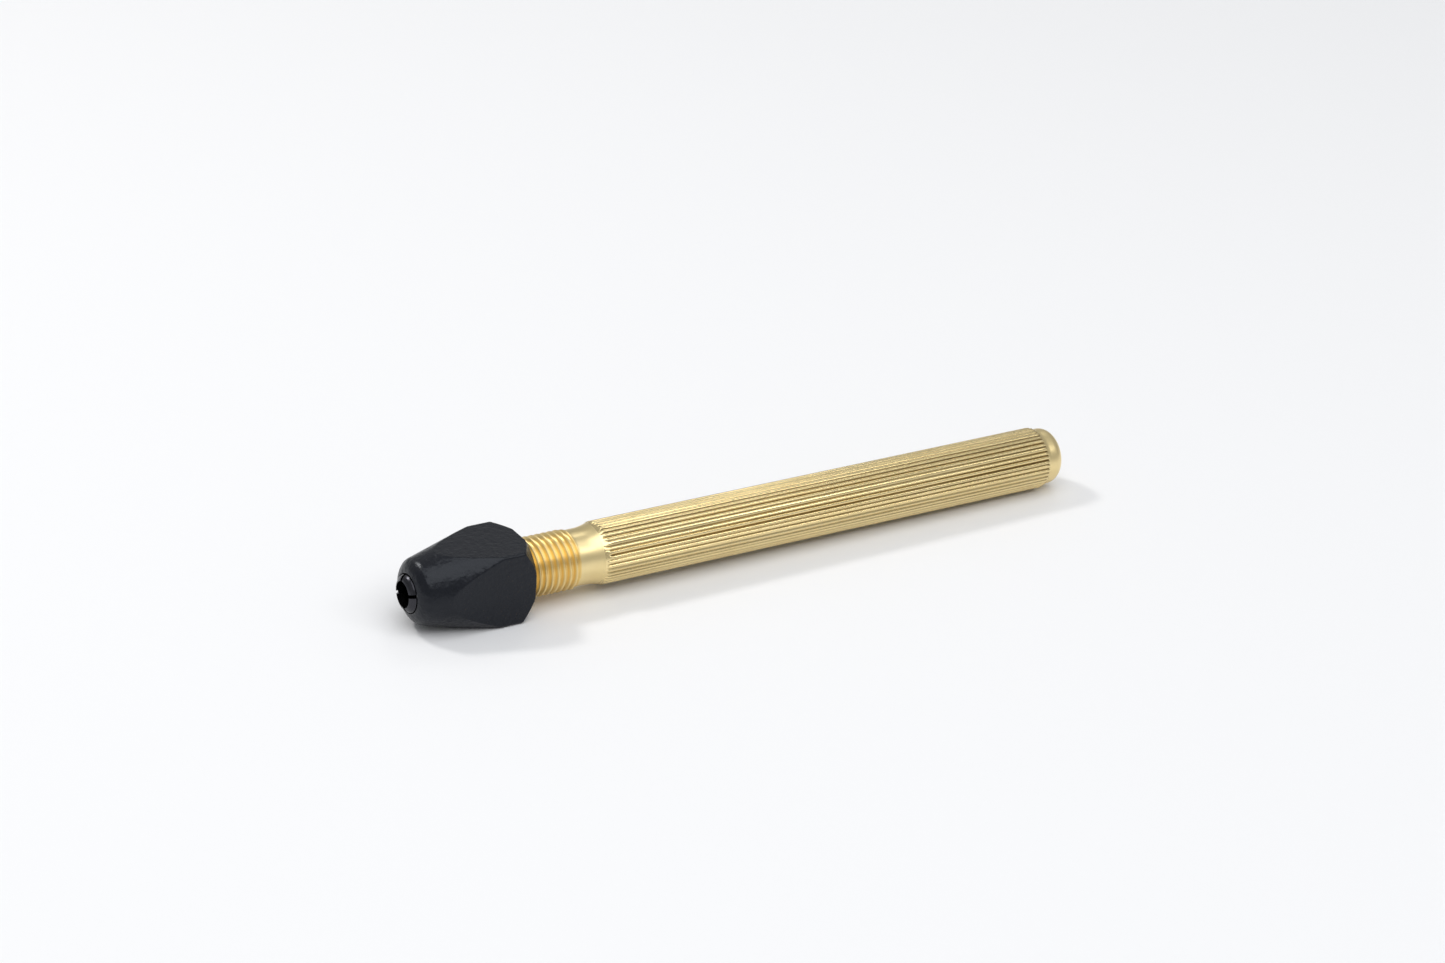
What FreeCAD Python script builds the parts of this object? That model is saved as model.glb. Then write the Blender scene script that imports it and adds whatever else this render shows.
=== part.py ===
import FreeCAD, Part
import math
import os
import re
import Sketcher

# A pin-vice type lead holder: a brass handle, a black chuck nut and a split collet.
# The lead's axis is X. X = 0 is the collet's mouth, +X runs to the handle's tail and +Z is up.
# Every length is in millimetres. R stands for a radius about the X axis.

SIZES = {
    # collet: a spring-steel sleeve, sawn from the mouth into four jaws
    "lead_bore": 2.1,            # R of the open bore that takes the lead
    "tip_radius": 3.0,           # R of the nose that stands in the nut's mouth
    "tip_face": 0.8,             # how far the end face slopes back
    "tip_crown": 1.3,            # radius of the rounded end face
    "collar_radius": 4.1,        # R of the collar that the nut pushes on
    "collar_rear": 7.2,          # X where the collar ends
    "collar_slope": 0.5,         # length along X from the collar down to the cone
    "shank_radius": 2.95,        # R of the shank in the handle
    "slot_width": 0.55,
    "slot_angle": 74.0,          # first slot, degrees about X from +Z
    "slot_end": 22.0,            # X where the slots end and the jaws bend
    "bend_gap": 0.05,            # gap left for the jaws' small turn at their root
    "sleeve_end": 26.0,          # X of the collet's rear end
    # the tapered seat that closes the jaws
    "seat_slope": 0.1405,        # an 8 degree half angle
    "seat_rear": 13.0,           # X where the seat meets the straight bore
    "seat_gap": 0.05,            # radial running clearance of the collet
    # nut: a turned cone with four milled flats
    "nut_front": 0.85,           # X of the nut's mouth
    "nut_mouth": 3.15,           # R of the mouth
    "nose_ring": 2.2,            # X of the ring where the crowned nose meets the cone
    "nose_radius": 5.17,         # R of that ring
    "nose_crown": 2.6,           # radius of the crowned nose
    "cone_end": 13.75,           # X where the cone meets the corners
    "corner_radius": 8.27,       # R over the corners
    "corner_end": 17.5,          # X where the rear chamfer starts
    "nut_rear": 19.6,            # X of the rear face
    "rear_radius": 6.3,          # R of the rear face
    "flat_distance": 6.0,        # from the axis to each flat
    "shoulder_front": 2.2,       # X where the inner shoulder starts, at 45 degrees
    "cavity_radius": 4.3,        # R of the room round the collar
    "relief_start": 6.6,         # X where the wider thread relief starts
    "relief_radius": 4.95,
    "relief_end": 8.4,           # X where the inside thread starts
    # thread: 3/8 inch, 24 to the inch, right-handed
    "pitch": 1.0583,
    "crest_radius": 4.735,       # R over the handle's thread
    "root_radius": 4.095,        # R in its root
    "crest_flat": 0.132,
    "flank_slope": 0.577,        # tangent of half the 60 degree thread angle
    "flank_gap": 0.08,           # play along X between the two threads' flanks
    "nut_thread_root": 4.86,     # R in the root of the nut's thread
    "nut_thread_crest": 4.25,    # R over its crests
    "thread_phase": 21.39,       # X of one groove's middle on the +Z side
    "thread_runout": 0.2,        # from the groove's end to the thread's end
    "thread_cutter": 0.1,        # how far the cutter stands out of the metal
    "turns_ahead": 12.0,         # pitches from thread_phase forward to where the cutter starts
    # handle
    "spigot_front": 9.5,
    "spigot_chamfer": 0.6,
    "thread_end": 28.4,
    "neck_radius": 4.43,
    "neck_end": 30.0,            # X where the concave fillet starts
    "neck_fillet": 9.5,
    "grip_start": 33.28,         # X where the fillet reaches the grip
    "grip_radius": 5.0,
    "grip_end": 115.5,
    "band_radius": 4.56,
    "band_end": 117.07,
    "tail_round": 1.85,
    "tail_end": 118.92,
    "shank_bore_end": 27.5,      # X of the step behind the collet
    "well_radius": 2.2,          # the well that takes the rest of the lead
    "well_end": 103.0,
    "well_point": 1.3,           # length of the drill's point
    # knurl
    "knurl_depth": 0.25,
    "knurl_half_width": 0.28,
    "knurl_overrun": 1.6,        # how far the grooves run out over the neck
    "knurl_cutter": 0.1,
    # how far the flats' and slots' cutters reach past the metal
    "overrun": 1.0,
    "cutter_reach": 12.0,
}

KNURL_COUNT = 41
FLAT_COUNT = 4
JAW_COUNT = 4
FULL_TURN = 360.0
JAW_ANGLE = FULL_TURN / JAW_COUNT
ON_AXIS = 1e-9                   # a coordinate smaller than this counts as nought

doc = FreeCAD.newDocument("lead_holder")


def make_sheet():
    """The sheet of driving dimensions, one named cell each."""
    sheet = doc.addObject("Spreadsheet::Sheet", "Sizes")
    for row, (name, number) in enumerate(SIZES.items(), start=1):
        sheet.set("A%d" % row, name)
        sheet.set("B%d" % row, str(number))
        sheet.setAlias("B%d" % row, name)
    doc.recompute()
    return sheet


def formula(text):
    """The text with each dimension's name turned into its cell in the sheet."""
    def cell(match):
        word = match.group()
        return "Sizes." + word if word in SIZES else word
    return re.sub(r"[a-z_]{3,}", cell, text)


def value(text):
    """The number that a formula gives."""
    return float(sheet.evalExpression(formula(text)))


def origin_feature(body, role):
    """The body's own origin plane or axis that has this role."""
    for feature in body.Origin.OriginFeatures:
        if feature.Role == role:
            return feature
    raise ValueError("no " + role)


def new_body(label):
    """An empty body whose label names the sub-part."""
    body = doc.addObject("PartDesign::Body", label)
    body.Label = label
    return body


def new_sketch(body, name, role, offset=None):
    """A sketch on one of the body's origin planes, moved along its normal by a formula."""
    sketch = body.newObject("Sketcher::SketchObject", name)
    sketch.AttachmentSupport = [(origin_feature(body, role), "")]
    sketch.MapMode = "FlatFace"
    if offset:
        sketch.setExpression("AttachmentOffset.Base.z", formula(offset))
    return sketch


def round_arc(start, end, radius, left):
    """The arc between two corners that bulges to the left or right of the way from start to end."""
    along = end.sub(start)
    side = FreeCAD.Vector(-along.y, along.x, 0).normalize()
    depth = (radius ** 2 - (along.Length / 2) ** 2) ** 0.5
    centre = start + along * 0.5 + side * (-depth if left else depth)
    first, last = (end, start) if left else (start, end)
    begin = math.atan2(first.y - centre.y, first.x - centre.x)
    finish = math.atan2(last.y - centre.y, last.x - centre.x)
    if finish < begin:
        finish += 2 * math.pi
    return Part.ArcOfCircle(Part.Circle(centre, FreeCAD.Vector(0, 0, 1), radius), begin, finish)


def draw_outline(sketch, corners, arcs=None):
    """A closed outline with every corner bound to two formulas.

    arcs maps the number of an arc's first corner to its radius formula and its bulge, left or right.
    """
    arcs = arcs or {}
    points = [FreeCAD.Vector(value(across), value(up), 0) for across, up in corners]
    count = len(points)
    ends = [(1, 2)] * count      # each line's first and last end, as the sketch numbers them
    for i, start in enumerate(points):
        end = points[(i + 1) % count]
        if i not in arcs:
            sketch.addGeometry(Part.LineSegment(start, end), False)
            continue
        radius, bulge = arcs[i]
        sketch.addGeometry(round_arc(start, end, value(radius), bulge == "left"), False)
        if bulge == "left":
            ends[i] = (2, 1)
    for i in range(count):
        following = (i + 1) % count
        sketch.addConstraint(Sketcher.Constraint("Coincident", i, ends[i][1], following, ends[following][0]))
    for i, (across, up) in enumerate(corners):
        bind_corner(sketch, i, ends[i][0], "DistanceX", across)
        bind_corner(sketch, i, ends[i][0], "DistanceY", up)
    for i, (radius, bulge) in arcs.items():
        number = sketch.addConstraint(Sketcher.Constraint("Radius", i, value(radius)))
        sketch.setExpression("Constraints[%d]" % number, formula(radius))


def bind_corner(sketch, curve, point, kind, text):
    """Hold one coordinate of a corner at its formula, or on the axis where it is nought."""
    size = value(text)
    if abs(size) < ON_AXIS:
        axis = -2 if kind == "DistanceX" else -1
        sketch.addConstraint(Sketcher.Constraint("PointOnObject", curve, point, axis))
        return
    number = sketch.addConstraint(Sketcher.Constraint(kind, -1, 1, curve, point, size))
    sketch.setExpression("Constraints[%d]" % number, formula(text))


def turn(body, sketch, name, degrees=FULL_TURN):
    """A solid of revolution about the X axis, an equal angle each side of the sketch."""
    feature = body.newObject("PartDesign::Revolution", name)
    feature.Profile = sketch
    feature.ReferenceAxis = (origin_feature(body, "X_Axis"), [""])
    feature.Angle = degrees
    feature.Midplane = True
    return feature


def cut(body, sketch, name, length):
    """A pocket from the sketch towards -X, whose length is a formula. It has to take metal away."""
    before = body.Shape.Volume
    feature = body.newObject("PartDesign::Pocket", name)
    feature.Profile = sketch
    feature.setExpression("Length", formula(length))
    doc.recompute()
    if not feature.Shape.Volume < before:
        raise ValueError(name + " cuts nothing")
    return feature


def repeat_round(body, feature, name, count):
    """The feature repeated evenly about the X axis."""
    pattern = body.newObject("PartDesign::PolarPattern", name)
    pattern.Originals = [feature]
    pattern.Axis = (origin_feature(body, "X_Axis"), [""])
    pattern.Angle = FULL_TURN
    pattern.Occurrences = count
    body.Tip = pattern
    doc.recompute()
    return pattern


def cut_thread(body, name, outline, length):
    """A right-handed groove along a helix, from the outline towards +X."""
    sketch = new_sketch(body, name + "_section", "XZ_Plane")
    draw_outline(sketch, outline)
    doc.recompute()
    before = body.Shape.Volume
    helix = body.newObject("PartDesign::SubtractiveHelix", name)
    helix.Profile = sketch
    helix.ReferenceAxis = (origin_feature(body, "X_Axis"), [""])
    helix.Mode = "pitch-height-angle"
    helix.setExpression("Pitch", formula("pitch"))
    helix.setExpression("Height", formula(length))
    helix.LeftHanded = False
    helix.HasBeenEdited = True
    doc.recompute()
    if not helix.Shape.Volume < before:
        raise ValueError(name + " cuts nothing")
    return helix


def make_handle():
    """The brass handle: spigot, neck, grip, band and tail, bored from the front."""
    body = new_body("handle")
    profile = new_sketch(body, "handle_profile", "XZ_Plane")
    corners = [
        ("spigot_front", "shank_radius + seat_gap + seat_slope * (seat_rear - spigot_front)"),
        ("spigot_front", "crest_radius - spigot_chamfer"),
        ("spigot_front + spigot_chamfer", "crest_radius"),
        ("thread_end - (crest_radius - neck_radius)", "crest_radius"),
        ("thread_end", "neck_radius"),
        ("neck_end", "neck_radius"),
        ("grip_start", "grip_radius"),
        ("grip_end", "grip_radius"),
        ("grip_end", "band_radius"),
        ("band_end", "band_radius"),
        ("tail_end", "band_radius - tail_round"),
        ("tail_end", "0"),
        ("well_end + well_point", "0"),
        ("well_end", "well_radius"),
        ("shank_bore_end", "well_radius"),
        ("shank_bore_end", "shank_radius + seat_gap"),
        ("seat_rear", "shank_radius + seat_gap"),
    ]
    draw_outline(profile, corners, {5: ("neck_fillet", "right"), 9: ("tail_round", "left")})
    turn(body, profile, "handle_turned")
    doc.recompute()
    groove = new_sketch(body, "knurl_section", "YZ_Plane", "grip_end + knurl_cutter")
    draw_outline(groove, [
        ("0", "grip_radius - knurl_depth"),
        ("knurl_half_width * (1 + knurl_cutter / knurl_depth)", "grip_radius + knurl_cutter"),
        ("-knurl_half_width * (1 + knurl_cutter / knurl_depth)", "grip_radius + knurl_cutter"),
    ])
    doc.recompute()
    first = cut(body, groove, "knurl_groove", "grip_end + knurl_cutter - grip_start + knurl_overrun")
    repeat_round(body, first, "knurl", KNURL_COUNT)
    start = "thread_phase - turns_ahead * pitch"
    half_root = "(pitch - crest_flat - 2 * flank_slope * (crest_radius - root_radius)) / 2"
    half_top = "((pitch - crest_flat) / 2 + flank_slope * thread_cutter)"
    cut_thread(body, "handle_thread", [
        (start + " - " + half_root, "root_radius"),
        (start + " + " + half_root, "root_radius"),
        (start + " + " + half_top, "crest_radius + thread_cutter"),
        (start + " - " + half_top, "crest_radius + thread_cutter"),
    ], "thread_end - thread_runout - thread_phase + turns_ahead * pitch")
    return body


def make_nut():
    """The black chuck nut: a turned cone with four flats, hollow, threaded at the rear."""
    body = new_body("chuck_nut")
    profile = new_sketch(body, "nut_profile", "XZ_Plane")
    corners = [
        ("nut_front", "nut_mouth"),
        ("nose_ring", "nose_radius"),
        ("cone_end", "corner_radius"),
        ("corner_end", "corner_radius"),
        ("nut_rear", "rear_radius"),
        ("nut_rear", "nut_thread_crest"),
        ("relief_end", "nut_thread_crest"),
        ("relief_end", "relief_radius"),
        ("relief_start", "relief_radius"),
        ("relief_start", "cavity_radius"),
        ("shoulder_front + cavity_radius - nut_mouth", "cavity_radius"),
        ("shoulder_front", "nut_mouth"),
    ]
    draw_outline(profile, corners, {0: ("nose_crown", "left")})
    turn(body, profile, "nut_turned")
    doc.recompute()
    flat = new_sketch(body, "flat_section", "YZ_Plane", "nut_rear + overrun")
    draw_outline(flat, [
        ("-corner_radius", "flat_distance"),
        ("corner_radius", "flat_distance"),
        ("corner_radius", "corner_radius + overrun"),
        ("-corner_radius", "corner_radius + overrun"),
    ])
    doc.recompute()
    first = cut(body, flat, "flat", "nut_rear + overrun - nut_front")
    repeat_round(body, first, "flats", FLAT_COUNT)
    start = "thread_phase - (turns_ahead + 0.5) * pitch"
    half_root = "(crest_flat / 2 - flank_slope * (nut_thread_root - crest_radius) + flank_gap)"
    cut_height = "(crest_radius - nut_thread_crest + thread_cutter)"
    half_top = "(crest_flat / 2 + flank_slope * " + cut_height + " + flank_gap)"
    cut_thread(body, "nut_thread", [
        (start + " - " + half_top, "nut_thread_crest - thread_cutter"),
        (start + " + " + half_top, "nut_thread_crest - thread_cutter"),
        (start + " + " + half_root, "nut_thread_root"),
        (start + " - " + half_root, "nut_thread_root"),
    ], "(turns_ahead + 1) * pitch")
    return body


def make_sleeve():
    """The unsplit rear of the collet, which holds the four jaws together."""
    body = new_body("collet_sleeve")
    profile = new_sketch(body, "sleeve_profile", "XZ_Plane")
    draw_outline(profile, [
        ("slot_end", "lead_bore"),
        ("slot_end", "shank_radius"),
        ("sleeve_end", "shank_radius"),
        ("sleeve_end", "lead_bore"),
    ])
    turn(body, profile, "sleeve_turned")
    return body


def make_jaw(number):
    """One spring finger: a quarter of the collet's turned shape less half a slot each side."""
    label = "collet_jaw_%d" % number
    body = new_body(label)
    profile = new_sketch(body, label + "_profile", "XZ_Plane")
    shoulder = "shoulder_front + seat_gap - nut_mouth"
    cone_foot = "shank_radius + seat_slope * (seat_rear - collar_rear - collar_slope)"
    draw_outline(profile, [
        ("0", "lead_bore"),
        ("tip_face", "tip_radius"),
        (shoulder + " + tip_radius", "tip_radius"),
        (shoulder + " + collar_radius", "collar_radius"),
        ("collar_rear", "collar_radius"),
        ("collar_rear + collar_slope", cone_foot),
        ("seat_rear", "shank_radius"),
        ("slot_end - bend_gap", "shank_radius"),
        ("slot_end - bend_gap", "lead_bore"),
    ], {0: ("tip_crown", "left")})
    turn(body, profile, label + "_turned", JAW_ANGLE)
    doc.recompute()
    slots = new_sketch(body, label + "_slots", "YZ_Plane", "slot_end + overrun")
    apex = "slot_width / sqrt(2)"
    draw_outline(slots, [
        ("0", apex),
        ("cutter_reach", apex + " + cutter_reach"),
        ("cutter_reach", "-overrun"),
        ("-cutter_reach", "-overrun"),
        ("-cutter_reach", apex + " + cutter_reach"),
    ])
    doc.recompute()
    cut(body, slots, label + "_sawn", "slot_end + 2 * overrun")
    middle = "slot_angle + %g" % (JAW_ANGLE * (number - 0.5))
    turned = FreeCAD.Rotation(FreeCAD.Vector(1, 0, 0), value(middle))
    body.Placement = FreeCAD.Placement(FreeCAD.Vector(), turned)
    return body


def check_document():
    """Stop if any object of the document failed to compute."""
    doc.recompute()
    for item in doc.Objects:
        if "Invalid" in item.State or "Error" in item.State:
            raise ValueError("%s: %s" % (item.Label, item.State))


def write_parts(bodies):
    """One STEP file for each sub-part, after its solid is checked."""
    os.makedirs("parts", exist_ok=True)
    for body in bodies:
        shape = body.Shape
        if shape.isNull() or not shape.isValid() or len(shape.Solids) != 1:
            raise ValueError(body.Label + " is not one sound solid")
        shape.exportStep("parts/%s.step" % body.Label)
        box = shape.BoundBox
        print("%-16s %10.3f mm3  x %.2f to %.2f" % (body.Label, shape.Volume, box.XMin, box.XMax))


sheet = make_sheet()
bodies = [make_handle(), make_nut(), make_sleeve()]
bodies += [make_jaw(number) for number in range(1, JAW_COUNT + 1)]
check_document()
write_parts(bodies)
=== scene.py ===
# %% [markdown]
# # A brass lead holder
# A pin-vice lead holder is three loose pieces: a turned and knurled brass handle, a black chuck
# nut, and a split steel collet between them. The collet's nodes come from the CAD frame as they
# are. The handle and the nut get new skins here, because their knurl, thread, edges and coating
# are finer than a CAD solid needs to be.

# %% Load the frame
import bpy
import bmesh
import math
import numpy as np
from mathutils import Matrix, Vector


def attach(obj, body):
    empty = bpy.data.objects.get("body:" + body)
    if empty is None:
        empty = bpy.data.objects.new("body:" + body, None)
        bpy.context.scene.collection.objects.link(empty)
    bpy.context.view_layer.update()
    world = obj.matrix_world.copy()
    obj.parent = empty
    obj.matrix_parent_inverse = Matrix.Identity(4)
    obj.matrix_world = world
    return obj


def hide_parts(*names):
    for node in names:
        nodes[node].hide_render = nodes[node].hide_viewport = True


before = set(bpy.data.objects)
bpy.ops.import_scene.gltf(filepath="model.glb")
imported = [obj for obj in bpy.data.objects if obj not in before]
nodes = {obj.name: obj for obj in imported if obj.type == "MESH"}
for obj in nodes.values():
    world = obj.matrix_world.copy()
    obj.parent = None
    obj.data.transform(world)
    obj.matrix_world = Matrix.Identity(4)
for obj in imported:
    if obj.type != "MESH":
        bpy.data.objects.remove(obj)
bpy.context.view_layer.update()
MM = 0.001
print("CAD nodes:", sorted(nodes))

# %% [markdown]
# ## Turned surfaces
# Everything on this object is turned on a lathe, so each skin is a grid: rows run along the
# outline and columns run round the axis. A row and a column give a point at a distance x along
# the axis and r from it. A revolved outline would do for a plain bar, but the knurl, the flats
# and the thread need r to change from column to column, which is why both x and r are whole
# arrays here.

# %% Grid to mesh
MERGE_GAP = 0.002                # points closer than this become one, in millimetres
THIN_EDGE = 0.001                # edges shorter than this are dissolved


def turned_mesh(name, x, r, angles, step_rows=None):
    """A closed skin from arrays x and r (rows by columns, millimetres) at the column angles.

    A point is (x, -r sin a, r cos a), so the angle a turns about +X from +Z. step_rows is None
    for rings, or (first, last, step) for a block of rows that climbs like a screw: after a full
    turn each row there meets the one that is step rows further on.
    """
    rows, columns = x.shape
    points = np.stack([x, -r * np.sin(angles), r * np.cos(angles)], axis=-1) * MM
    partner = np.arange(rows)
    if step_rows:
        first, last, step = step_rows
        block = np.arange(first, last + 1)
        partner[block] = np.clip(block + step, first, last)
    number = np.arange(rows * columns).reshape(rows, columns)
    right = np.concatenate([number[:, 1:], number[partner, :1]], axis=1)
    faces = np.stack([number[:-1], right[:-1], right[1:], number[1:]], axis=-1).reshape(-1, 4)
    mesh = bpy.data.meshes.new(name)
    mesh.from_pydata(points.reshape(-1, 3).tolist(), [], faces.tolist())
    tidy = bmesh.new()
    tidy.from_mesh(mesh)
    bmesh.ops.remove_doubles(tidy, verts=tidy.verts, dist=MERGE_GAP * MM)
    bmesh.ops.dissolve_degenerate(tidy, edges=tidy.edges, dist=THIN_EDGE * MM)
    if tidy.calc_volume(signed=True) < 0:
        bmesh.ops.reverse_faces(tidy, faces=tidy.faces)
    open_edges = sum(1 for edge in tidy.edges if len(edge.link_faces) != 2)
    tidy.to_mesh(mesh)
    tidy.free()
    mesh.polygons.foreach_set("use_smooth", np.ones(len(mesh.polygons), bool))
    piece = bpy.data.objects.new(name, mesh)
    bpy.context.scene.collection.objects.link(piece)
    print("%s: %d faces, %d open edges" % (name, len(mesh.polygons), open_edges))
    return piece


print("points closer than", MERGE_GAP, "mm are merged")

# %% [markdown]
# ### Rings and crisp corners
# A turned shoulder is a ring at one x and one r. Smooth shading would blur the corner between
# two rings. Splitting the mesh there would open it, so a close pair of rings goes either side
# of the corner instead, which also gives it the tiny break that a real edge has.

# %% Rings and corners
CORNER_GAP = 0.02                # from a corner to its pair of points, in millimetres
CORNER_SHARE = 0.3               # and at most this share of the side


def rings(outline, columns):
    """Rows of constant x and r for each (x, r) corner of an outline."""
    corners = np.array(outline, float)
    ones = np.ones(columns)
    return corners[:, :1] * ones, corners[:, 1:] * ones


def sharp(outline):
    """The outline with each inner corner swapped for two points, one a short way along each
    side: the corner plus the side's vector times the smaller of the share and gap over length.
    """
    corners = np.array(outline, float)
    kept = [corners[0]]
    for before, corner, after in zip(corners[:-2], corners[1:-1], corners[2:]):
        for other in (before, after):
            way = other - corner
            kept.append(corner + way * min(CORNER_SHARE, CORNER_GAP / np.hypot(*way)))
    kept.append(corners[-1])
    return [tuple(point) for point in kept]


def smooth_step(t):
    """0 before 0, 1 after 1, and an S between: 3t squared less 2t cubed."""
    t = np.clip(t, 0, 1)
    return t * t * (3 - 2 * t)


print("one corner becomes", len(sharp([(0, 0), (1, 0), (1, 1)])) - 2, "points")
print("the S at a quarter, half and three quarters:", smooth_step(np.array([0.25, 0.5, 0.75])))

# %% [markdown]
# ## The screw thread
# A thread is one groove that climbs a pitch each turn. Rings can't hold it, because its edges
# cross them and come out as steps. So the rows are sheared to follow the helix: row by row they
# cross the groove's section, and column by column they climb. The ends are clipped to the
# stretch that is threaded and eased to the radius beside it.

# %% Thread rows
PITCH = 1.0583
THREAD_PHASE = 21.39             # x of one groove's middle on the +Z side


def thread_rows(section, start, end, start_radius, end_radius, ease, angles):
    """Arrays x and r of a right-handed thread from start to end.

    section is one pitch of (offset, radius) points from the middle of the handle's groove. x is
    the section's offset plus the pitch times the share of a turn plus whole pitches, clipped to
    the stretch. r is the section's radius, blended to the end radii over the ease length.
    """
    offsets, radii = np.array(section, float).T
    first = math.floor((start - THREAD_PHASE) / PITCH) - 2
    turns = np.arange(first, math.ceil((end - THREAD_PHASE) / PITCH) + 2)
    along = (turns[:, None] * PITCH + offsets[None, :]).reshape(-1, 1)
    x = along + THREAD_PHASE + PITCH * angles[None, :] / (2 * np.pi)
    r = np.tile(radii, len(turns))[:, None] * np.ones_like(x)
    x = np.clip(x, start, end)
    r = start_radius + (r - start_radius) * smooth_step((x - start) / ease)
    r = end_radius + (r - end_radius) * smooth_step((end - x) / ease)
    return x, r


print("the thread climbs", PITCH, "mm a turn")

# %% [markdown]
# ## The handle
# The handle is one brass bar: a threaded spigot, a plain neck that swells into the grip in a
# concave fillet, the straight-knurled grip and a smooth band with a rounded end. It could be
# separate meshes laid end to end, but the seams would show in the gloss. So it is one surface,
# from the bottom of the lead well, out of the mouth and back along the outside to the tail.

# %% Handle sizes
GRIP_START, GRIP_END = 32.7, 115.5
GRIP_RADIUS, NECK_RADIUS, BAND_RADIUS = 5.0, 4.43, 4.56
NECK_END, NECK_FILLET = 30.0, 9.5
TAIL_ROUND, TAIL_END = 1.85, 118.92
SPIGOT_FRONT, THREAD_END = 9.5, 28.4
THREAD_ROOT, THREAD_CREST = 4.1, 4.735


def envelope(x):
    """The radius of neck and grip before knurling: a cylinder, a concave arc, then the grip.

    The arc is the neck's radius plus the fillet's, less the root of the fillet's radius squared
    less the distance past the neck's end squared.
    """
    past_neck = NECK_FILLET ** 2 - (x - NECK_END) ** 2
    arc = NECK_RADIUS + NECK_FILLET - np.sqrt(np.maximum(past_neck, 0))
    return np.where(x < NECK_END, NECK_RADIUS, np.minimum(arc, GRIP_RADIUS))


print("radius at x 29, 32 and 35 mm:", envelope(np.array([29.0, 32.0, 35.0])).round(3))

# %% [markdown]
# ### The knurl
# A straight knurl is pressed in by toothed wheels, so its ridges aren't perfect: each starts a
# little early or late on the fillet, leans a little to one side, and is deeper or shallower than
# its neighbours. A bump map would keep the outline smooth, so the ridges are real: eight columns
# to a ridge, each with its own drop and lean. A seeded generator gives the same ridges each run.

# %% One ridge
RIDGES = 41
KNURL_DEPTH = 0.27
ridge_places = np.array([0.0, 0.12, 0.23, 0.35, 0.5, 0.65, 0.77, 0.88])    # share of a ridge
ridge_drop = np.array([1.0, 0.70, 0.18, 0.02, 0.0, 0.02, 0.18, 0.70])      # 1 in the groove
ridge_lean = np.array([0.0, 0.0, -1.0, -0.6, 0.0, 0.6, 1.0, 0.0])          # tips the crest
ridge_numbers = np.arange(RIDGES)[:, None]
handle_angles = (ridge_numbers + ridge_places[None, :]).reshape(-1) * 2 * np.pi / RIDGES
rng = np.random.default_rng(7)
print(RIDGES, "ridges in", len(handle_angles), "columns")

# %% Grip rows
START_SCATTER = (-0.35, 0.3)     # where a ridge starts, from GRIP_START, in millimetres
FADE_LENGTH = 0.75
DEPTH_SCATTER, DEPTH_WANDER = (-0.5, 0.35), 0.16       # shares of KNURL_DEPTH
LEAN_SCATTER, LEAN_WANDER = (-0.07, 0.07), 0.02        # millimetres
WAVE_LENGTHS = (25, 110)
BURR_HEIGHT, BURR_PLACE, BURR_WIDTH = 0.05, 0.55, 0.35
END_BREAK, BREAK_START, BREAK_LENGTH = 0.06, 115.3, 0.2


def wander(count, waves, along, size):
    """For each of count ridges a slow wave along x: a sum of sines of random length and phase."""
    total = np.zeros((len(along), count))
    for _ in range(waves):
        length = rng.uniform(*WAVE_LENGTHS, count)
        phase = rng.uniform(0, 2 * np.pi, count)
        total += np.sin(along[:, None] * 2 * np.pi / length + phase)
    return total * size / waves


def grip_rows():
    """x and r of the neck and grip.

    r is the envelope, less the groove's drop, plus the burr and the lean, each faded in at the
    ridge's own start. The burr is a bell curve just past that start.
    """
    lead_in = np.linspace(28.6, 31.8, 9)
    start = np.linspace(32.0, 34.6, 24)
    middle = np.linspace(35.4, 114.2, 58)
    stop = np.array([114.9, 115.2, 115.38, 115.46, 115.5])
    along = np.concatenate([lead_in, start, middle, stop])
    begins = GRIP_START + rng.uniform(*START_SCATTER, RIDGES)
    past_start = along[:, None] - begins[None, :]
    fade = smooth_step(past_start / FADE_LENGTH)
    scatter = 1 + rng.uniform(*DEPTH_SCATTER, RIDGES)
    depth = KNURL_DEPTH * (scatter + wander(RIDGES, 3, along, DEPTH_WANDER))
    drop = (fade * depth)[:, :, None] * ridge_drop[None, None, :]
    burr = BURR_HEIGHT * fade * np.exp(-((past_start - BURR_PLACE) / BURR_WIDTH) ** 2)
    raised = burr[:, :, None] * (1 - ridge_drop)[None, None, :]
    lean = fade * (rng.uniform(*LEAN_SCATTER, RIDGES) + wander(RIDGES, 2, along, LEAN_WANDER))
    tipped = lean[:, :, None] * ridge_lean[None, None, :]
    r = envelope(along)[:, None] + (raised - drop + tipped).reshape(len(along), -1)
    end_break = END_BREAK * smooth_step((along - BREAK_START) / BREAK_LENGTH)[:, None]
    x = along[:, None] * np.ones_like(r)
    return x, np.minimum(r, GRIP_RADIUS) - end_break


print("grooves are about", KNURL_DEPTH, "mm deep")

# %% [markdown]
# ### The handle in one skin
# The blocks of rows are stacked in the order that a finger would follow: the well, the seat, the
# thread, the grip, the band and the rounded tail. Only the thread's block climbs, so only its
# rows meet a different row after a full turn.

# %% Handle surface
WELL_POINT, WELL_END, WELL_START, WELL_RADIUS = 104.3, 103.0, 27.5, 2.2
SHANK_BORE, SEAT_REAR, SEAT_MOUTH = 3.0, 13.0, 3.49
HANDLE_EASE = 0.45
handle_section = [(-0.09, THREAD_ROOT), (0.09, THREAD_ROOT), (0.21, 4.30), (0.34, 4.53),
                  (0.43, 4.67), (PITCH / 2, THREAD_CREST), (PITCH - 0.43, 4.67),
                  (PITCH - 0.34, 4.53), (PITCH - 0.21, 4.30)]


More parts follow.
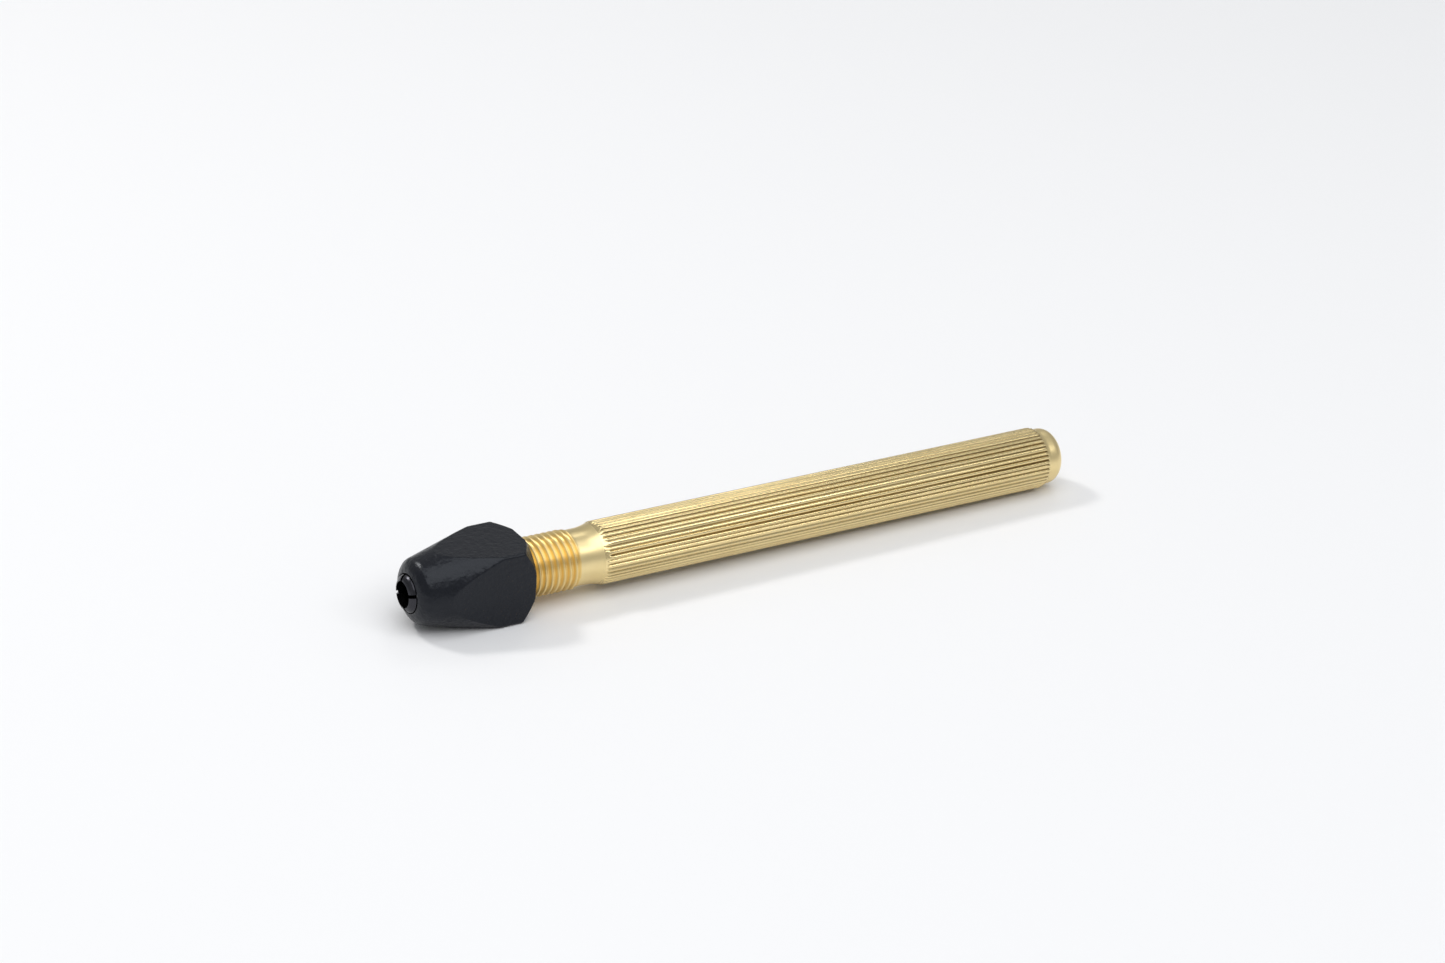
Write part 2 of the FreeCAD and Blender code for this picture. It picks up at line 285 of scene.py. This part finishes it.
def tail_outline():
    """(x, r) along the band and its rounded end, a quarter circle of radius TAIL_ROUND."""
    bend = np.linspace(0, np.pi / 2, 12)
    corner_x = TAIL_END - TAIL_ROUND + TAIL_ROUND * np.sin(bend)
    corner_r = BAND_RADIUS - TAIL_ROUND + TAIL_ROUND * np.cos(bend)
    band = [(GRIP_END + 0.01, BAND_RADIUS + 0.02), (GRIP_END + 0.03, BAND_RADIUS),
            (GRIP_END + 0.8, BAND_RADIUS)]
    return band + list(zip(corner_x, corner_r)) + [(TAIL_END, 1.4), (TAIL_END, 0.0)]


def make_handle_skin():
    """The handle's surface, its rows in order from the well's point to the tail's middle."""
    columns = len(handle_angles)
    well = [(WELL_POINT, 0.01), (WELL_END, WELL_RADIUS), (WELL_START, WELL_RADIUS),
            (WELL_START, SHANK_BORE), (SEAT_REAR, SHANK_BORE), (SPIGOT_FRONT, SEAT_MOUTH),
            (SPIGOT_FRONT, THREAD_ROOT)]
    inside = rings([(WELL_POINT, 0.0)] + sharp(well), columns)
    thread = thread_rows(handle_section, SPIGOT_FRONT, THREAD_END, THREAD_ROOT, NECK_RADIUS,
                         HANDLE_EASE, handle_angles)
    blocks = [inside, thread, grip_rows(), rings(tail_outline(), columns)]
    x = np.concatenate([block[0] for block in blocks])
    r = np.concatenate([block[1] for block in blocks])
    first = len(inside[0])
    steps = (first, first + len(thread[0]) - 1, len(handle_section))
    return turned_mesh("brass_handle", x, r, handle_angles, steps)


handle = make_handle_skin()

# %% [markdown]
# ## The chuck nut
# The nut starts as a turned blank: a crowned nose, a 15 degree cone, a short cylinder and a
# chamfer. Four flats are then milled along it. Cutting them with a boolean would leave ragged
# triangles. Taking the least of those shapes at every point gives the same solid, and taking a
# soft least instead rounds every edge a little, as the coating does on the real one.

# %% Nut outside
NUT_COLUMNS = 320
NUT_FRONT, NUT_MOUTH, NUT_REAR = 0.85, 3.15, 19.6
NOSE_RING, NOSE_RADIUS, NOSE_CROWN = 2.2, 5.17, 3.2
MOUTH_EDGE = (0.89, 3.13)        # (x, r) of the small break inside the mouth
CONE_SLOPE, CORNER_RADIUS, REAR_RADIUS = 0.2684, 8.27, 6.3
FLAT = 6.0
EDGE = 0.016                     # how softly two shapes meet
nut_angles = np.arange(NUT_COLUMNS) * 2 * np.pi / NUT_COLUMNS


def soft_least(*shapes):
    """A smooth minimum: minus EDGE times the log of the summed exponentials of minus each
    shape over EDGE. The first shape is taken off before and put back after."""
    summed = sum(np.exp(-(shape - shapes[0]) / EDGE) for shape in shapes)
    return -EDGE * np.log(summed) + shapes[0]


def nose_outline():
    """(x, r) over the nose: a circular arc of radius NOSE_CROWN on the chord from the mouth to
    the ring where the cone starts."""
    chord = np.array([NOSE_RING - NUT_FRONT, NOSE_RADIUS - NUT_MOUTH])
    length = np.hypot(*chord)
    half = math.asin(length / 2 / NOSE_CROWN)
    swing = -half + 2 * half * np.linspace(0, 1, 14)
    side = np.array([-chord[1], chord[0]]) / length
    rise = NOSE_CROWN * (np.cos(swing) - math.cos(half))
    share = 0.5 + NOSE_CROWN * np.sin(swing)[:, None] / length
    return np.array([NUT_FRONT, NUT_MOUTH]) + chord * share + side * rise[:, None]


def nut_outside():
    """x and r from the nose ring to the rear face: the soft least of cone, cylinder, chamfer
    and flats. A flat's r is FLAT over the cosine of the angle from its middle."""
    along = np.concatenate([np.linspace(NOSE_RING, 4.6, 14)[1:], np.linspace(4.6, 19.3, 112)[1:],
                            np.linspace(19.3, 19.56, 5)[1:]])
    x = along[:, None] * np.ones(NUT_COLUMNS)
    cone = NOSE_RADIUS + CONE_SLOPE * (x - NOSE_RING)
    cylinder = CORNER_RADIUS + 0 * x
    chamfer = REAR_RADIUS + (NUT_REAR - x)
    turn = (nut_angles + np.pi / 4) % (np.pi / 2) - np.pi / 4
    flats = FLAT / np.cos(turn)[None, :] + 0 * x
    return x, soft_least(cone, cylinder, chamfer, flats), flats


print("the cone leans", round(math.degrees(math.atan(CONE_SLOPE)), 1), "degrees")

# %% [markdown]
# ### The nut in one skin
# The nut is hollow: its mouth lets the collet's tips out, an inner shoulder pushes the collet
# back, and its thread takes the handle's spigot. The rows go over the nose and the outside, in
# across the rear face, back through the thread and out of the mouth, so the skin closes.

# %% Nut surface
RIM_RADIUS, RIM_GAP = 6.25, 0.03
REAR_HOLE = 5.0
THREAD_START, RELIEF_START, CAVITY_START = 8.4, 6.6, 3.35
RELIEF_RADIUS, CAVITY_RADIUS, NUT_CREST = 4.95, 4.3, 4.25
NUT_EASE = 0.5
nut_section = [(0.0, NUT_CREST), (0.1, NUT_CREST), (0.25, 4.5), (0.44, 4.83), (PITCH / 2, 4.86),
               (PITCH - 0.44, 4.83), (PITCH - 0.25, 4.5), (PITCH - 0.1, NUT_CREST)]


def make_nut_skin():
    """The nut's surface, its rows in order from the mouth over the outside and back through
    the thread."""
    nose = [tuple(point) for point in nose_outline()[:-1]]
    nose_rows = rings([MOUTH_EDGE] + nose, NUT_COLUMNS)
    outside_x, outside_r, flats = nut_outside()
    rim = np.minimum(RIM_RADIUS, flats[:1] - RIM_GAP)
    rear = (NUT_REAR + 0 * rim, rim)
    hole = rings([(NUT_REAR, REAR_HOLE), (NUT_REAR, RELIEF_RADIUS)], NUT_COLUMNS)
    thread = thread_rows(nut_section, THREAD_START, NUT_REAR, NUT_CREST, RELIEF_RADIUS,
                         NUT_EASE, nut_angles)
    thread = (thread[0][::-1], thread[1][::-1])
    cavity = [(THREAD_START, NUT_CREST), (THREAD_START, RELIEF_RADIUS),
              (RELIEF_START, RELIEF_RADIUS), (RELIEF_START, CAVITY_RADIUS),
              (CAVITY_START, CAVITY_RADIUS), (NOSE_RING, NUT_MOUTH), (0.9, NUT_MOUTH),
              MOUTH_EDGE]
    blocks = [nose_rows, (outside_x, outside_r), rear, hole, thread,
              rings(sharp(cavity), NUT_COLUMNS)]
    x = np.concatenate([block[0] for block in blocks])
    r = np.concatenate([block[1] for block in blocks])
    first = sum(len(block[0]) for block in blocks[:4])
    steps = (first, first + len(thread[0]) - 1, -len(nut_section))
    return turned_mesh("black_nut", x, r, nut_angles, steps)


nut = make_nut_skin()

# %% [markdown]
# ## Where the handle is crest or groove
# Crests keep the brass's own colour. The knurl's grooves get a dark brown as painted shade, and
# the thread a warmer, deeper gold, most in its roots, as painted light bouncing between its
# flanks. A painted map would need an unwrapping.
# The mesh carries two numbers on each point instead, so the painted shade follows the shape
# exactly:
# how deep the point lies, and whether it is on the knurl.

# %% Point attributes
OUTSIDE_GRIP, OUTSIDE_THREAD = 4.3, 3.6      # radii that tell the outside from the bores
# the thread's tint towards the deeper gold is a painted warm reflection of light bouncing between
# its flanks
THREAD_TONE = 0.4                # the thread's crests start this far towards the deep colour
THREAD_DEPTH = 0.5


def mark_points(piece, name, values):
    """Store one number per mesh point under the name."""
    attribute = piece.data.attributes.new(name, "FLOAT", "POINT")
    attribute.data.foreach_set("value", np.asarray(values, np.float32))


def point_table(piece):
    """x and r of every mesh point, in millimetres."""
    places = np.empty(len(piece.data.vertices) * 3, np.float32)
    piece.data.vertices.foreach_get("co", places)
    places = places.reshape(-1, 3) / MM
    return places[:, 0], np.hypot(places[:, 1], places[:, 2])


handle_x, handle_r = point_table(handle)
on_grip = ((handle_x > GRIP_START - 0.3) & (handle_x < GRIP_END + 0.005)
           & (handle_r > OUTSIDE_GRIP))
on_thread = (handle_x < THREAD_END) & (handle_r > OUTSIDE_THREAD)
# drop is 0 on a crest and 1 deep in a groove: it drives painted shade in the knurl's grooves and
# a painted warm reflection in the thread's roots
drop = np.where(on_grip, np.clip((envelope(handle_x) - handle_r) / KNURL_DEPTH, 0, 1), 0)
thread_drop = np.clip((THREAD_CREST - handle_r) / THREAD_DEPTH, 0, 1)
drop = np.where(on_thread, THREAD_TONE + 0.6 * thread_drop, drop)
mark_points(handle, "groove", drop)
mark_points(handle, "rolled", on_grip)
print(int(on_grip.sum()), "points on the grip,", int(on_thread.sum()), "on the thread")

# %% [markdown]
# ## Finishes
# Each finish is a Principled shader with its pattern on Object coordinates, scaled to
# millimetres, so it needs no unwrapping and keeps its size. Helpers keep the node work short:
# one adds a node and sets its sockets, one adds noise that can be stretched along an axis.

# %% Finish helpers
def new_finish(name):
    """A material with its node tree, its shader and a coordinate socket."""
    material = bpy.data.materials.new(name)
    material.use_nodes = True
    tree = material.node_tree
    shader = tree.nodes["Principled BSDF"]
    place = tree.nodes.new("ShaderNodeTexCoord").outputs["Object"]
    return material, tree, shader, place


def add_node(tree, kind, sockets=None, **settings):
    """A node with its settings, and its sockets given a number or linked from another."""
    node = tree.nodes.new("ShaderNode" + kind)
    for key, setting in settings.items():
        setattr(node, key, setting)
    for key, given in (sockets or {}).items():
        if isinstance(given, bpy.types.NodeSocket):
            tree.links.new(given, node.inputs[key])
        else:
            node.inputs[key].default_value = given
    return node


def add_noise(tree, place, stretch, detail=3.0, roughness=0.5):
    """Noise with this many waves to the millimetre along X, Y and Z."""
    scaled = add_node(tree, "Mapping", {"Vector": place, "Scale": [n / MM for n in stretch]})
    noise = add_node(tree, "TexNoise", {"Vector": scaled.outputs["Vector"], "Scale": 1.0,
                                        "Detail": detail, "Roughness": roughness})
    return noise.outputs["Fac"]


print("finish helpers ready")

# %% Value helpers
def add_range(tree, given, low, high, to_low, to_high):
    """The value carried from one range to another, clamped."""
    node = add_node(tree, "MapRange", {"Value": given, "From Min": low, "From Max": high,
                                       "To Min": to_low, "To Max": to_high})
    return node.outputs["Result"]


def add_mix(tree, share, first, second):
    """A blend of two colours. Inputs 0, 6 and 7 are the share and the colours."""
    node = tree.nodes.new("ShaderNodeMix")
    node.data_type = "RGBA"
    for number, given in ((0, share), (6, first), (7, second)):
        if isinstance(given, bpy.types.NodeSocket):
            tree.links.new(given, node.inputs[number])
        else:
            node.inputs[number].default_value = given
    return node.outputs[2]


def add_sum(tree, kind, first, second):
    """One step of arithmetic on two values."""
    node = add_node(tree, "Math", {0: first, 1: second}, operation=kind)
    return node.outputs[0]


def add_bump(tree, height, distance, strength, before=None):
    """A bump of this height in millimetres, on top of an earlier one."""
    sockets = {"Height": height, "Distance": distance * MM, "Strength": strength}
    if before:
        sockets["Normal"] = before
    return add_node(tree, "Bump", sockets).outputs["Normal"]


print("value helpers ready")

# %% [markdown]
# ### Brass
# The spigot, neck and band carry fine rings from the lathe tool. The grip has streaks along the
# ridges from the knurling wheels, with small nicks on the crests. One material covers both,
# because the bar is one piece: the mesh's own number switches between them.

# %% Brass finish
BRIGHT_BRASS = ((0.89, 0.74, 0.41, 1), (0.81, 0.64, 0.31, 1))      # two patches
# painted groove colours: a warm gold as painted bounced light in the thread, a dark brown as
# painted shade in the knurl
PAINTED_GROOVE_BRASS = ((0.88, 0.64, 0.25, 1), (0.20, 0.12, 0.035, 1))       # in the thread, in the knurl
TURNED_SATIN = 0.12              # extra roughness where the bar is only turned


def make_brass():
    """Brass in its own colour on the crests, with painted shade in the knurl's grooves and
    painted bounced light in the thread, with rings or streaks.
    """
    material, tree, shader, place = new_finish("satin_brass")
    groove = add_node(tree, "Attribute", attribute_name="groove").outputs["Fac"]
    rolled = add_node(tree, "Attribute", attribute_name="rolled").outputs["Fac"]
    rings_noise = add_noise(tree, place, (9.0, 0.12, 0.12), 4.0, 0.65)
    streaks = add_noise(tree, place, (0.05, 2.2, 2.2), 2.0, 0.5)
    patches = add_noise(tree, place, (0.12, 0.3, 0.3), 3.0)
    nicks = add_noise(tree, place, (1.2, 2.2, 2.2), 1.0)
    nick_mask = add_range(tree, nicks, 0.76, 0.80, 0.0, 1.0)
    lines = add_node(tree, "Mix", {0: rolled, 2: rings_noise, 3: streaks}).outputs[0]
    bright = add_mix(tree, patches, *BRIGHT_BRASS)
    # deep is the painted groove colour: painted bounced light in the thread, painted shade in the
    # knurl; the groove number blends it in
    deep = add_mix(tree, rolled, *PAINTED_GROOVE_BRASS)
    colour = add_mix(tree, add_range(tree, groove, 0.2, 0.9, 0.0, 0.95), bright, deep)
    tree.links.new(colour, shader.inputs["Base Color"])
    shader.inputs["Metallic"].default_value = 1.0
    satin = add_range(tree, rolled, 0.0, 1.0, TURNED_SATIN, 0.0)
    rough = add_sum(tree, "ADD", add_range(tree, lines, 0.3, 0.7, 0.18, 0.30), satin)
    tree.links.new(rough, shader.inputs["Roughness"])
    fine = add_bump(tree, rings_noise, 0.010, add_range(tree, rolled, 0.0, 1.0, 0.6, 0.0))
    nick_height = add_sum(tree, "MULTIPLY", nick_mask, rolled)
    tree.links.new(add_bump(tree, nick_height, -0.05, 0.7, fine), shader.inputs["Normal"])
    return material


brass = make_brass()
print(brass.name, "has", len(brass.node_tree.nodes), "nodes")

# %% [markdown]
# ### Black coating
# The nut's coating has an orange peel: low swellings about a millimetre across with finer grain
# on them. Two noises give both sizes. The coating hides the metal under it, so the shader is not
# metallic: it is a dark base with a weak, slightly blue shine.

# %% Black coating finish
COAT_COLOURS = ((0.003, 0.0035, 0.006, 1), (0.007, 0.008, 0.012, 1))


def make_black_coat():
    """Black coating with swellings and grain."""
    material, tree, shader, place = new_finish("black_coat")
    swell = add_noise(tree, place, (1.1, 1.1, 1.1), 1.5)
    grain = add_noise(tree, place, (3.6, 3.6, 3.6), 3.0, 0.6)
    tree.links.new(add_mix(tree, grain, *COAT_COLOURS), shader.inputs["Base Color"])
    shader.inputs["Specular IOR Level"].default_value = 0.3
    shader.inputs["Specular Tint"].default_value = (0.88, 0.93, 1.0, 1)
    tree.links.new(add_range(tree, grain, 0.3, 0.7, 0.26, 0.36), shader.inputs["Roughness"])
    peel = add_bump(tree, swell, 0.20, 0.6)
    tree.links.new(add_bump(tree, grain, 0.03, 0.5, peel), shader.inputs["Normal"])
    return material


black_coat = make_black_coat()
print(black_coat.name, "has", len(black_coat.node_tree.nodes), "nodes")

# %% [markdown]
# ### Blackened steel
# The collet is dark spring steel. It is bare metal, so the shader is metallic with a dark base,
# and one noise stretched round the axis gives the faint rings that turning leaves.

# %% Blackened steel finish
STEEL_COLOURS = ((0.03, 0.03, 0.035, 1), (0.06, 0.06, 0.068, 1))


def make_black_steel():
    """Dark metal with turning rings."""
    material, tree, shader, place = new_finish("black_steel")
    rings_noise = add_noise(tree, place, (7.0, 0.3, 0.3), 3.0)
    tree.links.new(add_mix(tree, rings_noise, *STEEL_COLOURS), shader.inputs["Base Color"])
    shader.inputs["Metallic"].default_value = 1.0
    rough = add_range(tree, rings_noise, 0.3, 0.7, 0.20, 0.34)
    tree.links.new(rough, shader.inputs["Roughness"])
    tree.links.new(add_bump(tree, rings_noise, 0.01, 0.4), shader.inputs["Normal"])
    return material


black_steel = make_black_steel()
print(black_steel.name, "has", len(black_steel.node_tree.nodes), "nodes")

# %% [markdown]
# ## Fitting the skins to the moving parts
# On the real holder the nut turns, the collet slides and its four fingers bend. Each skin rides
# the body that its CAD node belongs to and takes that node's place, so it follows every joint.
# The collet's own nodes already ride their bodies, so they only need their finish.

# %% Ride, replace and dress
for skin, body, node, slot, finish in (
        (handle, "handle", "handle", "brass", brass),
        (nut, "nut", "chuck_nut", "black_coat", black_coat)):
    skin.data.materials.append(finish)
    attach(skin, body)
    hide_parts(node)
collet_nodes = [name for name in sorted(nodes) if name.startswith("collet")]
for name in collet_nodes:
    nodes[name].data.materials.clear()
    nodes[name].data.materials.append(black_steel)
print("dressed in steel:", collet_nodes)

# %% [markdown]
# ## Table
# The holder lies on the nut's lower flat and on the end of its grip, which is thinner, so the
# table leans a little under it. Tilting the table keeps the holder itself unturned at the
# origin, where its joints are defined.

# %% Table
TABLE_DROP, TABLE_REACH = -6.0, 3000.0
TABLE_RISE = 1.0 / (GRIP_END - NUT_REAR)


def table_height(x):
    """Height of the table under a place x: the nut's flat plus the rise times the distance
    behind the nut, in millimetres."""
    return TABLE_DROP + TABLE_RISE * (x - NUT_REAR)


def make_table():
    """One large face that leans along X."""
    sides = ((-1, -1), (1, -1), (1, 1), (-1, 1))
    corners = [(x * TABLE_REACH, y * TABLE_REACH, table_height(x * TABLE_REACH))
               for x, y in sides]
    mesh = bpy.data.meshes.new("table")
    mesh.from_pydata([tuple(c * MM for c in corner) for corner in corners], [], [(0, 1, 2, 3)])
    table = bpy.data.objects.new("table", mesh)
    bpy.context.scene.collection.objects.link(table)
    material, _, shader, _ = new_finish("white_table")
    shader.inputs["Base Color"].default_value = (0.88, 0.88, 0.89, 1)
    shader.inputs["Roughness"].default_value = 0.7
    mesh.materials.append(material)


make_table()
print("the table rises", round(math.degrees(math.atan(TABLE_RISE)), 2), "degrees to the tail")

# %% [markdown]
# ## Light
# A small warm box behind on the left gives the bright lines along the ridges. A large cool box
# overhead fills the rest softly. Two small weak ones, one straight behind and one on the right,
# lift the sides that face them. The white room brightens what they leave.

# %% Light
LIGHT_AIM = (0.06, 0.0, 0.0)     # the middle of the holder, in metres
WARM, COOL, PLAIN = (1.0, 0.985, 0.96), (0.97, 0.985, 1.0), (1, 1, 1)
SOFT_BOXES = (                   # name, place, size in metres, power in watts, tint
    ("key_box", (-0.25, 0.45, 0.60), 0.12, 1.8, WARM),
    ("top_box", (-0.05, -0.45, 1.10), 1.20, 8.3, COOL),
    ("right_box", (0.50, 0.50, 0.75), 0.20, 0.34, PLAIN),
    ("front_box", (0.50, -0.60, 0.70), 0.26, 0.85, PLAIN))


def add_light(name, place, size, power, tint):
    """A square soft box at a place, turned to face the holder."""
    data = bpy.data.lights.new(name, "AREA")
    data.size = size
    data.energy = power
    data.color = tint
    light = bpy.data.objects.new(name, data)
    bpy.context.scene.collection.objects.link(light)
    light.location = place
    way = Vector(LIGHT_AIM) - Vector(place)
    light.rotation_euler = way.to_track_quat("-Z", "Y").to_euler()


for soft_box in SOFT_BOXES:
    add_light(*soft_box)
world = bpy.data.worlds.new("white_room")
world.use_nodes = True
world.node_tree.nodes["Background"].inputs["Color"].default_value = (*COOL, 1)
world.node_tree.nodes["Background"].inputs["Strength"].default_value = 0.43
bpy.context.scene.world = world
bpy.context.scene.view_settings.view_transform = "Standard"
print(len(SOFT_BOXES), "soft boxes in a", world.name)

# %% [markdown]
# ## Camera
# A long lens from a distance keeps the holder's sides nearly parallel. It stands in front of the
# nose and looks down along the handle. Two directions fix its turn: the picture's right and the
# way it looks. The third follows from them.

# %% Camera
CAMERA_PLACE = (-252.6, -478.3, 284.8)       # millimetres
CAMERA_RIGHT, CAMERA_FORWARD = (0.8546, -0.516, 0.060), (0.487, 0.756, -0.438)
LENS, SENSOR = 101.3, 36


def make_camera():
    """A long lens in front of the nose, looking down on the holder."""
    data = bpy.data.cameras.new("camera")
    data.lens = LENS
    data.sensor_width = SENSOR
    data.clip_start = 0.01
    data.clip_end = 20
    camera = bpy.data.objects.new("camera", data)
    bpy.context.scene.collection.objects.link(camera)
    right = Vector(CAMERA_RIGHT).normalized()
    forward = Vector(CAMERA_FORWARD).normalized()
    up = right.cross(forward)
    turned = Matrix((right, up, -forward)).transposed()
    place = Matrix.Translation(Vector(CAMERA_PLACE) * MM)
    camera.matrix_world = place @ turned.to_4x4()
    bpy.context.scene.camera = camera


make_camera()
print("lens", LENS, "mm")
